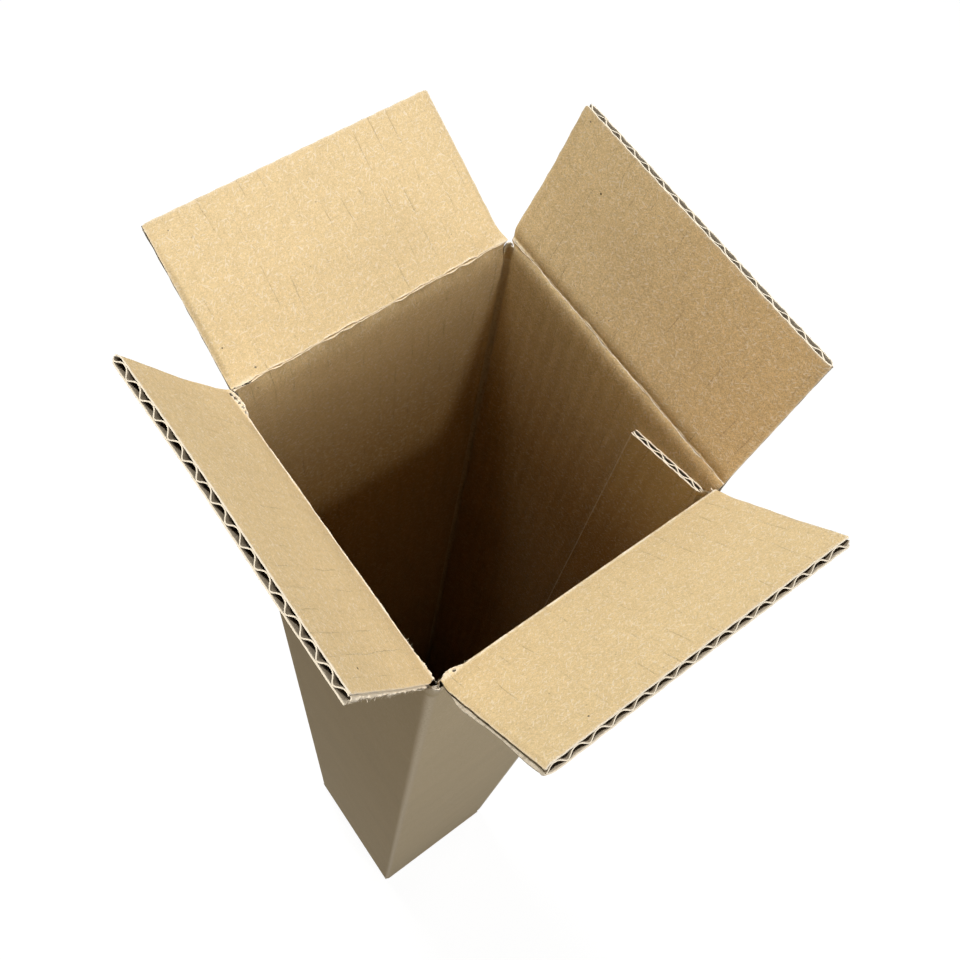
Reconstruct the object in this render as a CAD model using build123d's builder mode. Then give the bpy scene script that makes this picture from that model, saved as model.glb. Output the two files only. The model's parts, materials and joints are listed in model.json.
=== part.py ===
from build123d import *
from math import cos, radians, sin, tan
import os

os.makedirs("parts", exist_ok=True)

# A tall slotted carton of single-wall board, stood on its closed end with its four top flaps open.
# +X is the right wall, where the glue tab is, and +Y is the rear wall. All lengths are millimetres.

# The board: two flat liners with a waved sheet, the flutes, glued between them
board = 3.0
liner = 0.35
medium = 0.3
flute_pitch = 6.5
flank_angle = 50.0
tab_flank_angle = 32.0

# The room inside the closed box
inside_length = 101.6
inside_width = 101.6
inside_height = 762.0

# Folds, slots and running gaps
fold_radius = 3.2
floor_fold_radius = 2.4
corner_crush = 1.6
crease_shoulder = 5.0
bevel_angle = 45.0
crease_bead = 0.5
crease_gap = 0.2
lap_gap = 0.2
meeting_gap = 1.0
floor_seam = 0.4
major_slot_inset = 1.2
minor_slot_gap = 0.3
slot_flare = 1.2
slot_depth = 1.5
flap_corner = 0.6

# Crushed, closed board beside each crease
crushed_band = 2.5

# Glue tab, an extension of the front wall that runs up inside the right wall, pressed thinner by the gluing
tab_board = 2.2
tab_width = 31.0
tab_drop = 9.0
tab_gap = 0.4
tab_flute_depth = 24.0
seam_step = 1.0

# Angles of the top flaps at rest, in degrees outwards from upright
rear_open = 59.0
front_open = 43.0
right_open = 21.0
left_open = 28.0

overrun = 2.0

# Sizes that follow from those above
outside_length = inside_length + 2 * board
outside_width = inside_width + 2 * board
floor_top = 2 * board
minor_fold = floor_top + inside_height + board
major_fold = minor_fold + board + lap_gap
flap_length = (outside_length - meeting_gap) / 2
minor_inset = board + minor_slot_gap
sleeve_foot = floor_top + slot_depth
seam_x = outside_length / 2 - board
front_y = -outside_width / 2
shoulder_run = crease_shoulder * tan(radians(bevel_angle / 2))
shoulder_rise = shoulder_run * cos(radians(bevel_angle))
shoulder_out = shoulder_run * sin(radians(bevel_angle))


def flute_hollows(thickness, flank, low_edge, high_edge, shift_share):
    """Draw the hollows between the flutes and the liners, from one edge of a board to the other."""
    # A hollow, measured from its middle and from the liner that its crest leans on
    flank_slope = tan(radians(flank))
    flank_middle = flute_pitch / 4 - medium / (2 * sin(radians(flank)))
    mouth_half = flank_middle + (thickness / 2 - liner) / flank_slope
    crest_level = liner + medium
    crest_radius = (flank_middle - (thickness / 2 - crest_level) / flank_slope) / tan(radians(flank / 2))
    crest_half = crest_radius * sin(radians(flank))
    crest_side = crest_level + crest_radius * (1 - cos(radians(flank)))
    step = flute_pitch / 2
    first = int((low_edge - mouth_half) // step)
    last = int((high_edge + mouth_half) // step) + 1
    for i in range(first, last + 1):
        middle = i * step + shift_share * flute_pitch
        if middle + mouth_half < low_edge or middle - mouth_half > high_edge:
            continue
        levels = [thickness - liner, crest_side, crest_level]
        if i % 2:
            levels = [thickness - level for level in levels]
        mouth, side, crest = levels
        with BuildLine() as outline:
            Polyline((middle - crest_half, side), (middle - mouth_half, mouth),
                     (middle + mouth_half, mouth), (middle + crest_half, side))
            ThreePointArc((middle + crest_half, side), (middle, crest), (middle - crest_half, side))
        make_face(outline.edges())


def crease_cutter(half_distance, fold_level):
    """Draw what a crease takes off the top of one wall: a bevel with a rounded shoulder, and a round seat."""
    inner_face = half_distance - board
    bevel_end = (inner_face + shoulder_out, fold_level - board + shoulder_rise)
    shoulder_start = (inner_face, fold_level - board - shoulder_run)
    with BuildLine() as outline:
        Polyline(bevel_end, (half_distance, fold_level), (half_distance + overrun, fold_level),
                 (half_distance + overrun, major_fold + overrun),
                 (inner_face, major_fold + overrun), shoulder_start)
        TangentArc(shoulder_start, bevel_end, tangent=(0, 1))
    make_face(outline.edges())
    with Locations((half_distance, fold_level)):
        Circle(crease_bead + crease_gap)


def closed_flap_outline(half_distance, level):
    """Draw a wall's foot and the bottom flap that folds in from it, as one bent strip of board."""
    outer = floor_fold_radius
    with BuildLine() as outline:
        Line((floor_seam / 2, level), (half_distance - outer, level))
        RadiusArc((half_distance - outer, level), (half_distance, level + outer), -outer)
        Polyline((half_distance, level + outer), (half_distance, sleeve_foot),
                 (half_distance - board, sleeve_foot), (half_distance - board, level + board),
                 (floor_seam / 2, level + board), (floor_seam / 2, level))
    make_face(outline.edges())


# The carton: four walls, the glue tab and the glued bottom flaps, one folded sheet
with BuildPart() as carton:
    # Walls, with the right wall's raw edge standing past the front wall's fold at the glued corner
    with BuildSketch(Plane.XY.offset(sleeve_foot)):
        Rectangle(outside_length, outside_width)
        corners = vertices().sort_by(lambda corner: corner.X - corner.Y)[:-1]
        fillet(corners, fold_radius)
        Rectangle(inside_length, inside_width, mode=Mode.SUBTRACT)
        with Locations((outside_length / 2, front_y)):
            Rectangle(2 * board, 2 * seam_step, mode=Mode.SUBTRACT)
        with BuildSketch(mode=Mode.SUBTRACT):
            with BuildLine():
                Polyline((seam_x - fold_radius, front_y), (seam_x, front_y), (seam_x, front_y + fold_radius))
                RadiusArc((seam_x, front_y + fold_radius), (seam_x - fold_radius, front_y), fold_radius)
            make_face()
    extrude(amount=major_fold - sleeve_foot)

    # Bottom flaps: the right and left pair lie outermost, over the front and rear pair
    with BuildSketch(Plane.XZ) as outer_floor:
        closed_flap_outline(outside_length / 2, 0)
        mirror(about=Plane.YZ)
    extrude(amount=outside_width / 2 - major_slot_inset, both=True)
    with BuildSketch(Plane.YZ) as inner_floor:
        closed_flap_outline(outside_width / 2, board)
        mirror(about=Plane.YZ)
    extrude(amount=outside_length / 2 - minor_inset, both=True)

    # Creases at the tops of the walls, and the slots between them
    with BuildSketch(Plane.XZ) as major_creases:
        crease_cutter(outside_length / 2, major_fold)
        mirror(about=Plane.YZ)
    extrude(amount=outside_width / 2 + overrun, both=True, mode=Mode.SUBTRACT)
    with BuildSketch(Plane.YZ) as minor_creases:
        crease_cutter(outside_width / 2, minor_fold)
        mirror(about=Plane.YZ)
    extrude(amount=inside_length / 2, both=True, mode=Mode.SUBTRACT)
    with BuildSketch(Plane.XY.offset(minor_fold - slot_depth)):
        with GridLocations(outside_length, outside_width, 2, 2):
            Rectangle(2 * minor_inset, 2 * major_slot_inset)
    extrude(amount=major_fold, mode=Mode.SUBTRACT)

    # Glue tab on the inner face of the right wall, cut on a slant at both ends
    tab_root = front_y + board
    tab_top = minor_fold - board - tab_gap
    with BuildSketch(Plane.YZ.offset(seam_x - tab_board)):
        with BuildLine():
            Polyline((tab_root, floor_top + tab_gap), (tab_root + tab_width, floor_top + tab_gap + tab_drop),
                     (tab_root + tab_width, tab_top - tab_drop), (tab_root, tab_top), close=True)
        make_face()
    extrude(amount=tab_board)
    with BuildSketch(Plane((seam_x, tab_root, tab_top), x_dir=(0, 1, 0), z_dir=(0, 0, 1))):
        flute_hollows(tab_board, tab_flank_angle, crushed_band, tab_width, 0)
        with Locations((crushed_band, 0)):
            Rectangle(tab_width - crushed_band, tab_board, align=Align.MIN, mode=Mode.INTERSECT)
    extrude(amount=-tab_flute_depth, mode=Mode.SUBTRACT)

    # Upright creases, where the board is crushed along the inside of each corner
    with BuildSketch(Plane.XY.offset(sleeve_foot)):
        with Locations((seam_x, -tab_root), (-seam_x, -tab_root), (-seam_x, tab_root),
                       (seam_x - tab_board, tab_root)):
            Circle(corner_crush)
    extrude(amount=major_fold - sleeve_foot, mode=Mode.SUBTRACT)

carton.part.label = "carton"
export_step(carton.part, "parts/carton.step")

# Top flaps: name, outward direction, distance of the crease from the middle, height of the crease,
# half width at the crease, angle at rest, and where the flutes start as a share of their pitch
half_length = outside_length / 2
half_width = outside_width / 2
top_flaps = [
    ("rear_flap", Vector(0, 1, 0), half_width, minor_fold, half_length - minor_inset, rear_open, 0.0),
    ("front_flap", Vector(0, -1, 0), half_width, minor_fold, half_length - minor_inset, front_open, 0.25),
    ("right_flap", Vector(1, 0, 0), half_length, major_fold, half_width - major_slot_inset, right_open, 0.5),
    ("left_flap", Vector(-1, 0, 0), half_length, major_fold, half_width - major_slot_inset, left_open, 0.75),
]

for name, outward, distance, level, root_half, angle, flute_share in top_flaps:
    up = Vector(0, 0, 1)
    hinge = outward * distance + up * level
    run = outward * sin(radians(angle)) + up * cos(radians(angle))
    inner_side = up * sin(radians(angle)) - outward * cos(radians(angle))
    along = outward.cross(up)
    tip_half = root_half - slot_flare
    root_line = crease_gap

    with BuildPart() as flap:
        # The flap itself, slightly narrower at its outer edge because the slots flare
        with BuildSketch(Plane(hinge, x_dir=along, z_dir=inner_side)):
            with BuildLine():
                Polyline((-root_half, root_line), (root_half, root_line),
                         (tip_half, flap_length), (-tip_half, flap_length), close=True)
            make_face()
            fillet(vertices().group_by(Axis.Y)[-1], flap_corner)
        extrude(amount=board)

        # Bevel on the inner side of the root, with the same shoulder as its wall
        bevel_end = (root_line + board - shoulder_rise, board - shoulder_out)
        shoulder_end = (root_line + board + shoulder_run, board)
        with BuildSketch(Plane(hinge - along * (root_half + overrun), x_dir=run, z_dir=along)):
            with BuildLine():
                TangentArc(shoulder_end, bevel_end, tangent=(-1, 0))
                Polyline(bevel_end, (root_line, 0), (root_line - overrun, 0),
                         (root_line - overrun, board + overrun),
                         (shoulder_end[0], board + overrun), shoulder_end)
            make_face()
        extrude(amount=2 * (root_half + overrun), mode=Mode.SUBTRACT)

        # Rounded crease that the flap turns on
        with BuildSketch(Plane(hinge - along * root_half, x_dir=run, z_dir=along)):
            Circle(crease_bead)
        extrude(amount=2 * root_half)

        # Flutes, open at the outer edge and at the cut sides, and crushed shut beside the crease
        with BuildSketch(Plane(hinge + run * flap_length, x_dir=-along, z_dir=run)):
            flute_hollows(board, flank_angle, -root_half, root_half, flute_share)
        extrude(amount=-(flap_length - board - crushed_band), mode=Mode.SUBTRACT)

    flap.part.label = name
    export_step(flap.part, f"parts/{name}.step")
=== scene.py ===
import json
import math

import bpy
import numpy as np
from bpy.props import FloatProperty, FloatVectorProperty, PointerProperty
from mathutils import Matrix, Vector


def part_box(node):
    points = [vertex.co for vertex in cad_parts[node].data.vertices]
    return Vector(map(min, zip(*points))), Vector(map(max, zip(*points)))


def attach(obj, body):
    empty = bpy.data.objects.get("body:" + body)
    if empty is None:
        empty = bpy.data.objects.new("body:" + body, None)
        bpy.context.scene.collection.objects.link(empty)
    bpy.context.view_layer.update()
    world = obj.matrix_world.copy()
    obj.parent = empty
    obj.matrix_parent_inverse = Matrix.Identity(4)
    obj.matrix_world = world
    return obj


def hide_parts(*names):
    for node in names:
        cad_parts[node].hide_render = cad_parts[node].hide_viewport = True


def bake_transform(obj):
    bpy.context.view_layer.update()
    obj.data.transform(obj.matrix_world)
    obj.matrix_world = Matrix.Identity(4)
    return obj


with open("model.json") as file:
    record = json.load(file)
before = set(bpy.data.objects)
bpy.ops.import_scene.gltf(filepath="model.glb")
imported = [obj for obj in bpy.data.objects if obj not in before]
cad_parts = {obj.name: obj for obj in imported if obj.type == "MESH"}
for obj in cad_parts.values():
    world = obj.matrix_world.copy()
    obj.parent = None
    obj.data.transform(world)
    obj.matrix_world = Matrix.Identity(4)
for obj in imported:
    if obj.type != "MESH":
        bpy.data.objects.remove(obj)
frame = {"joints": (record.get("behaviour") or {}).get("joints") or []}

bl_info = {
    "name": "Open Carton",
    "version": (1, 0, 0),
    "blender": (4, 5, 0),
    "location": "3D View > Sidebar > Carton",
    "description": "Dresses a tall corrugated carton with liners, flutes, creases and torn edges",
    "category": "Object",
}

MM = 0.001
UP = np.array([0.0, 0.0, 1.0])
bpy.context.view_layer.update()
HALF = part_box("carton")[1][0]

# Faces of paper, as numbers of the material slots that every piece has
INSIDE, OUTSIDE, CUT, FLUTE = range(4)
PAPERS = ("kraft_inside", "kraft_outside", "cut_paper", "flute_paper")

# A power above 1 makes the flutes' crests broader at the inner liner than at the outer one
CREST_POWER = 1.5

# How far below the lower creases the crease strips start
JOIN_DROP = 6.5 * MM

# Beyond these distances from the middle, a corner post stands clear of the flaps beside it
CLEAR_X, CLEAR_Y = 50.5 * MM, 51.9 * MM

# Extra contrast of the pulp on the right panel: painted shading of its rough surface, as grazing light shows it
# there
RIGHT_RELIEF_SHADE = 1.6

# How far the inner pair of flaps bows inwards, and the outer pair outwards
FLAP_BOW = 0.5 * MM

# Points on one wave of the fluted paper, and rows of them along it
WAVE_POINTS, WAVE_ROWS = 14, 6

# The walls' sheet runs past the inner corner channels, and past the glue tab's inner face, by this much
CHANNEL_LIP, TAB_ROOT = 0.2 * MM, 0.3 * MM

# Room between the glue tab and the floor, and between its outer liner and the wall that it is glued to
TAB_FLOOR_GAP, GLUE_FILM = 0.4 * MM, 0.02 * MM

# Tops of the corner posts, in millimetres above the slot's floor: how much lower beside a crease, for the whole
# inner liner and for the other layers, how much higher clear of the flaps, the levels of the whole inner liner
# and of the layers behind it, and how much lower the glue tab's root slopes
POST_TUCK_INNER, POST_TUCK, POST_RISE, POST_INNER, POST_BEHIND, ROOT_SLOPE = 0.4, 1.2, 1.8, 0.9, -0.4, 2.5

# Faces of paper that meet at more than this angle keep a sharp edge
SHARP_ANGLE = math.radians(40)

# In millimetres, for each wall: where a flute's crest lies along its crease, how deep the crease is
# pressed into the board, and how high the liner is crinkled there
FLUTE_CRESTS = {"front": 1.1, "left": 1.6, "rear": 0.0, "right": -2.6}
CREASE_DIPS = {"front": 0.3, "left": 0.2, "rear": 0.1, "right": 1.3}
CRINKLES = {"front": 0.5, "left": 0.4, "rear": 1.3, "right": 0.75}

# Ridge of cracked liner along a fold, in millimetres high
RIDGES = {"front": 0.25, "left": 0.35, "rear": 0.0, "right": 0.12}

# End of a crease that lies at the torn front left corner, as a direction along it
TORN_ENDS = {"front": 1, "left": -1}

# Ends of the creases that are torn off, or pushed out where less than zero: direction along, and millimetres
END_LOSSES = {"front": (1, 0.8), "left": (-1, 1.3), "rear": (1, -0.8), "right": (-1, 1.0)}

# Holes burst in the inner liner at the creases: wall, place along, place across, half length, half width
BURSTS = (("left", 50.4, 1.0, 0.9, 0.45), ("left", 48.6, 0.75, 0.8, 0.45), ("left", 46.8, 0.65, 0.6, 0.35),
          ("left", 45.0, 0.55, 0.55, 0.3), ("left", 43.1, 0.5, 0.5, 0.25), ("left", -47.5, 0.5, 0.5, 0.25),
          ("rear", -45.6, 0.1, 2.0, 0.35), ("rear", -49.4, 0.3, 0.6, 0.35), ("front", 45.4, 0.7, 0.7, 0.3),
          ("right", -47.0, 0.2, 1.1, 0.25), ("right", -41.5, 0.1, 0.8, 0.2))

# Lips of the inner liner pushed out at a crease: wall, place along, half length, height
LIPS = (("front", 46.6, 4.0, 1.1), ("rear", -46.0, 3.4, 0.6), ("rear", 48.3, 2.8, 0.8),
        ("left", -48.4, 2.8, 0.35), ("left", 47.2, 5.6, 1.2), ("right", -46.0, 7.0, 0.35))

# Distance from a hole, in rims, where a crease has none
NO_HOLE = 9.0

# Dark specks in the pulp: wall, place along, place up the flap, radius
SPECKS = (("right", -32.2, 37.1, 0.42), ("right", -47.3, 50.6, 0.35), ("left", -45.1, 41.2, 0.4),
          ("rear", -46.7, 12.9, 0.3), ("rear", -40.9, 3.2, 0.4), ("front", 32.8, 48.4, 0.35),
          ("rear", -43.5, 48.8, 0.25), ("right", -11.8, 7.6, 0.28), ("right", -7.0, 9.1, 0.28))


def sizes():
    return bpy.context.scene.board_sizes


def unit(vector):
    return vector / np.linalg.norm(vector)


def clamp(value):
    """Keep shares between 0 and 1."""
    return np.clip(value, 0, 1)


def smooth(share):
    """Ease a share in and out between 0 and 1."""
    return share * share * (3 - 2 * share)


def bell(x, width, power=2):
    """A bump of height 1 round x = 0 that has faded by about twice its width."""
    return np.exp(-(x / width) ** power)


def ripple(x, seed, lengths, heights):
    """A smooth uneven wave of x: sines with lengths in millimetres, heights, and fixed random phases."""
    phases = np.random.RandomState(seed).uniform(0, 2 * math.pi, len(lengths))
    return sum(h * np.sin(2 * math.pi * x / (l * MM) + p) for l, h, p in zip(lengths, heights, phases))


def curve_between(start, start_way, end, end_way, shares):
    """Points on a smooth curve from start to end that leaves and arrives in the given ways."""
    t = np.asarray(shares)
    rise = smooth(t)
    return (np.multiply.outer(1 - rise, start) + np.multiply.outer(t * (1 - t) ** 2, start_way)
            + np.multiply.outer(rise, end) - np.multiply.outer(t * t * (1 - t), end_way))


class Wall:
    """One wall and its top flap: the crease, the directions along and across it, and its place on the sheet."""

    def __init__(self, side, number):
        self.side = side
        self.number = number
        self.flap = side + "_flap"
        joint = next(j for j in frame["joints"] if j["child"] == self.flap)
        self.crease = np.array(joint["pos_m"])
        self.outward = unit(self.crease * (1, 1, 0))
        self.along = np.cross(self.outward, UP)
        self.angle = math.radians(joint["range_deg"][1] - 90)
        self.run = self.outward * math.sin(self.angle) + UP * math.cos(self.angle)
        self.inner = UP * math.sin(self.angle) - self.outward * math.cos(self.angle)
        low, high = (np.array(corner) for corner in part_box(self.flap))
        self.root_half = abs((high - low) @ self.along) / 2
        self.sheet_start = number * 2 * HALF + HALF
        self.crest = FLUTE_CRESTS[side] * MM

    def half_width(self, r):
        """Half the flap's width at r out from the crease."""
        return self.root_half - sizes().flare * r / sizes().flap_length

    def on_flap(self, s, r, n):
        """Points s along the crease, r out from it and n in from the flap's outer face."""
        return (self.crease + s[..., None] * self.along + r[..., None] * self.run
                + n[..., None] * self.inner)

    def on_wall(self, s, o, z):
        """Points s along the crease, o outwards and z up from it."""
        return (self.crease + s[..., None] * self.along + o[..., None] * self.outward
                + z[..., None] * UP)

    def flat(self, s, v):
        """Place on the unfolded sheet of a point s along the crease and v up from it."""
        return np.stack([self.sheet_start + s, self.crease[2] + v + 0 * s], axis=-1)


WALLS = {side: Wall(side, number) for number, side in enumerate(["front", "left", "rear", "right"])}
LOW_CREASE = min(wall.crease[2] for wall in WALLS.values())
JOIN_LEVEL = LOW_CREASE - JOIN_DROP


def length(name, millimetres, description):
    return FloatProperty(name=name, description=description, default=millimetres * MM, unit="LENGTH")


def angle(name, degrees, description):
    return FloatProperty(name=name, description=description, default=math.radians(degrees), subtype="ANGLE")


def colour(name, value, description):
    return FloatVectorProperty(name=name, description=description, subtype="COLOR", size=3, default=value,
                               min=0, max=1)


class BoardSizes(bpy.types.PropertyGroup):
    board: length("Board", 3.0, "Thickness of the board")
    liner: length("Liner", 0.42, "Thickness of a liner")
    medium: length("Medium", 0.36, "Thickness of the fluted paper")
    pitch: length("Flute pitch", 6.5, "From one flute to the next")
    flap_length: length("Flap length", 53.3, "From the crease to the flap's edge")
    flare: length("Slot flare", 1.2, "How much each side of a flap narrows to its edge")
    corner: length("Flap corner", 0.6, "Radius of a flap's corners")
    join: length("Crease reach", 6.5, "How far the crease's own strip runs up a flap")
    fold_reach: length("Fold reach", 0.8, "How far up a flap its inner crease line lies")
    channel: length("Corner channel", 1.7, "Radius of the channel crushed inside a corner")
    seam_step: length("Seam step", 1.0, "How far the right wall stops short at the glued corner")
    fold_radius: length("Fold radius", 3.2, "Outside radius of an upright fold")
    floor_radius: length("Floor fold radius", 2.4, "Outside radius of the lowest folds")
    floor_seam: length("Floor seam", 0.4, "Gap between the two bottom flaps of a pair")
    foot: length("Foot", 7.5, "Height at which the walls start above the floor folds")
    slot_depth: length("Slot depth", 0.2, "How far a slot runs below the lower creases")
    pinch: length("Pinch", 1.0, "How far each liner is pressed in beside a cut side")
    tab_board: length("Tab board", 2.2, "Thickness of the pressed glue tab")
    tab_width: length("Tab width", 31.0, "Width of the glue tab")
    tab_drop: length("Tab drop", 9.0, "How far the tab's ends slope")
    tab_gap: length("Tab gap", 3.4, "How far the tab's top lies below the lower creases")
    tab_flutes: length("Tab flutes", 30.0, "How far down the tab its flutes are modelled")


class PaperColours(bpy.types.PropertyGroup):
    inside: colour("Inside", (0.60, 0.453, 0.247), "Inner liner")
    # Painted shade: the inner liner is made darker and browner deep inside the box, standing in for the shade
    # that falls there
    depth: colour("Depth", (0.62, 0.485, 0.27), "Tint of the inner liner deep inside the box")
    outside: colour("Outside", (0.505, 0.40, 0.245), "Outer liner")
    # Partly the fluted paper's own greyer tone, partly painted shade: made dark for the shade in the cells
    # between the liners, whose inner faces it also colours
    flute: colour("Flutes", (0.27, 0.22, 0.155), "Fluted paper")
    cut: colour("Cut edge", (0.76, 0.67, 0.53), "Cut and torn paper")


class StageValues(bpy.types.PropertyGroup):
    camera_place: FloatVectorProperty(
        name="Camera", description="Where the camera stands", subtype="TRANSLATION", size=3,
        default=(-0.1022, -0.0965, 1.0525), unit="LENGTH")
    azimuth: angle("Azimuth", -48.21, "Direction of view, from +Y towards -X")
    elevation: angle("Elevation", 65.25, "How steeply the camera looks down")
    roll: angle("Roll", 13.22, "Turn of the camera about its line of view")
    focal_share: FloatProperty(name="Focal share", description="Focal length as a share of the image's width",
                               default=1058.0 / 960.0)


class Paper:
    """Gathers closed sheets of paper, then makes one mesh object of them."""

    def __init__(self):
        self.points, self.faces, self.slots, self.flat, self.wear = [], [], [], [], []
        self.count = 0

    def sheet(self, front, back, flat, slots, wear=0.0, gone=None):
        """Add one closed sheet between two grids of points, without the squares marked as gone.

        flat is each point's place on the unfolded sheet, and slots are the front's, the back's and the edge's.
        """
        front, back = np.asarray(front, float), np.asarray(back, float)
        m, n = front.shape[:2]
        kept = np.zeros((m + 1, n + 1), bool)
        kept[1:m, 1:n] = True if gone is None else ~gone
        normal = np.cross(front[1:, :-1] - front[:-1, :-1], front[:-1, 1:] - front[:-1, :-1])
        turned = np.sum(normal * (front - back)[:-1, :-1]) < 0
        i, j = np.argwhere(kept[1:m, 1:n]).T
        corners = np.stack([i * n + j, (i + 1) * n + j, (i + 1) * n + j + 1, i * n + j + 1], 1)
        layers = [(corners, slots[0]), (corners[:, ::-1] + m * n, slots[1])]
        for k, (di, dj) in enumerate(((0, -1), (1, 0), (0, 1), (-1, 0))):
            edge = ~kept[i + 1 + di, j + 1 + dj]
            a, b = corners[edge, k], corners[edge, (k + 1) % 4]
            layers.append((np.stack([b, a, a + m * n, b + m * n], 1), slots[2]))
        for faces, slot in layers:
            faces = faces[:, ::-1] if turned else faces
            self.faces.append(faces + self.count)
            self.slots.append(np.full(len(faces), slot))
            self.flat.append(np.reshape(flat, (-1, 2))[faces % (m * n)])
        self.points += [front.reshape(-1, 3), back.reshape(-1, 3)]
        self.wear += [np.broadcast_to(wear, (m, n)).ravel()] * 2
        self.count += 2 * m * n

    def finish(self, name):
        used, faces = np.unique(np.concatenate(self.faces), return_inverse=True)
        mesh = bpy.data.meshes.new(name)
        mesh.from_pydata(np.concatenate(self.points)[used].tolist(), [], faces.reshape(-1, 4).tolist())
        layer = mesh.uv_layers.new(name="blank")
        layer.data.foreach_set("uv", np.concatenate(self.flat).astype(np.float32).ravel())
        worn = mesh.attributes.new("wear", "FLOAT", "POINT")
        worn.data.foreach_set("value", np.concatenate(self.wear)[used].astype(np.float32))
        return finished(name, mesh, np.concatenate(self.slots))


def finished(name, mesh, slots):
    """Give a mesh the paper materials, one slot to each face, and smooth shading, and put it in the scene."""
    mesh.materials.clear()
    for paper in PAPERS:
        mesh.materials.append(bpy.data.materials[paper])
    mesh.polygons.foreach_set("material_index", slots)
    mesh.shade_smooth()
    mesh.set_sharp_from_angle(angle=SHARP_ANGLE)
    piece = bpy.data.objects.new(name, mesh)
    bpy.context.scene.collection.objects.link(piece)
    return piece


class Nodes:
    """Short ways to add and join the nodes of one tree."""

    def __init__(self, tree):
        self.tree = tree
        tree.nodes.clear()

    def add(self, kind, inputs=(), **settings):
        node = self.tree.nodes.new(kind)
        for key, value in settings.items():
            setattr(node, key, value)
        for key, value in dict(inputs).items():
            if isinstance(value, bpy.types.NodeSocket):
                self.tree.links.new(value, node.inputs[key])
            elif value is not None:
                node.inputs[key].default_value = value
        return node

    def out(self, kind, inputs=(), **settings):
        return self.add(kind, inputs, **settings).outputs[0]

    def math(self, operation, a, b=None, c=None, clamp=False):
        return self.out("ShaderNodeMath", {0: a, 1: b, 2: c}, operation=operation, use_clamp=clamp)

    def plus(self, a, b):
        return self.math("ADD", a, b)

    def minus(self, a, b):
        return self.math("SUBTRACT", a, b)

    def times(self, a, b, clamp=False):
        return self.math("MULTIPLY", a, b, clamp=clamp)

    def scaled(self, value, factor, offset, clamp=False):
        return self.math("MULTIPLY_ADD", value, factor, offset, clamp)

    def combine(self, x=None, y=None, z=None):
        return self.out("ShaderNodeCombineXYZ", {0: x, 1: y, 2: z})

    def split(self, vector):
        return self.add("ShaderNodeSeparateXYZ", {0: vector}).outputs

    def noise(self, vector, scale, detail=2.0, roughness=0.5, curl=0.0):
        return self.out("ShaderNodeTexNoise", {"Vector": vector, "Scale": scale, "Detail": detail,
                                               "Roughness": roughness, "Distortion": curl})

    def span(self, value, low, high, to_low=0.0, to_high=1.0):
        """Bring a value from one span to another, smoothly and without leaving it."""
        return self.out("ShaderNodeMapRange", {"Value": value, "From Min": low, "From Max": high,
                                               "To Min": to_low, "To Max": to_high},
                        interpolation_type="SMOOTHSTEP")

    def mix(self, share, a, b, blend="MIX"):
        return self.add("ShaderNodeMix", {0: share, 6: a, 7: b}, data_type="RGBA", blend_type=blend).outputs[2]


def pulp_light(nodes, place, mottle):
    """The clots of pulp, the fibres in it, and how light the paper is for them.

    Here and below, the scale of a pattern says how often it repeats in a metre of paper.
    """
    pulp = nodes.noise(place, 1150, 4, 0.7)
    fibres = []
    for turn, stretch in ((0.45, 4.5), (-0.7, 4.0), (1.5, 5.0), (2.4, 4.0)):
        turned = nodes.out("ShaderNodeMapping", {"Vector": place, "Rotation": (0, 0, turn),
                                                 "Scale": (1, stretch, 1)}, vector_type="TEXTURE")
        fibres.append(nodes.noise(turned, 1900, 1, curl=0.5))
    fibre = nodes.math("MAXIMUM", nodes.math("MAXIMUM", *fibres[:2]), nodes.math("MAXIMUM", *fibres[2:]))
    light = nodes.scaled(pulp, mottle, 1 - mottle / 2)
    for scale, detail, swing in ((330, 2, 0.3 * mottle), (28, 2, 0.14), (2800, 1, mottle)):
        light = nodes.plus(light, nodes.scaled(nodes.noise(place, scale, detail), swing, -swing / 2))
    return pulp, fibre, light


def flute_marks(nodes, place, across, upright, level, lines):
    """The flutes' phase, the broken lines that they leave in the liner, and painted shade for the shallow
    hollows that they leave in it.
    """
    wander = nodes.scaled(nodes.noise(place, 75, 3), 0.34, -0.17)
    flutes = nodes.plus(nodes.math("DIVIDE", across, sizes().pitch), wander)
    near = nodes.math("ABSOLUTE", nodes.minus(nodes.math("FRACT", flutes), 0.5))
    patch = nodes.combine(nodes.times(nodes.math("FLOOR", flutes), 3.7), nodes.times(upright, 75.0))
    broken = nodes.span(nodes.noise(patch, 1.0, 3, 0.6), 0.47, 0.64)
    line = nodes.times(nodes.times(nodes.span(near, 0.035, 0.0), broken), lines)
    painted_hollow_shade = nodes.times(nodes.scaled(broken, 0.6, 0.4), nodes.span(near, 0.15, 0.02))
    # Painted shade in the hollows, stronger on the walls than on the flaps
    on_wall = nodes.span(level, JOIN_LEVEL + 4 * MM, JOIN_LEVEL, lines * 0.08, lines * 0.14)
    return flutes, line, nodes.times(painted_hollow_shade, on_wall)


def specked(nodes, place, sheet, light, specks):
    """Darken the paper at small random specks, and at the given ones."""
    for scale, kept, size, dark in ((70.0, 0.88, 0.024, 0.55), (260.0, 0.75, 0.09, 0.3)):
        cells = nodes.add("ShaderNodeTexVoronoi", {"Vector": place, "Scale": scale})
        chosen = nodes.out("ShaderNodeSeparateColor", {0: cells.outputs["Color"]})
        dot = nodes.times(nodes.span(cells.outputs["Distance"], size, size / 2),
                          nodes.span(chosen, kept, kept + 0.02))
        light = nodes.times(light, nodes.scaled(dot, -dark, 1.0))
    for side, s, r, radius in specks:
        x, y = WALLS[side].flat(np.array(s * MM), np.array(r * MM))
        away = nodes.add("ShaderNodeVectorMath", {0: sheet, 1: (x, y, 0)}, operation="DISTANCE")
        light = nodes.times(light, nodes.span(away.outputs["Value"], radius * MM * 0.5, radius * MM * 1.1,
                                              0.08, 1.0))
    return light


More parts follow.
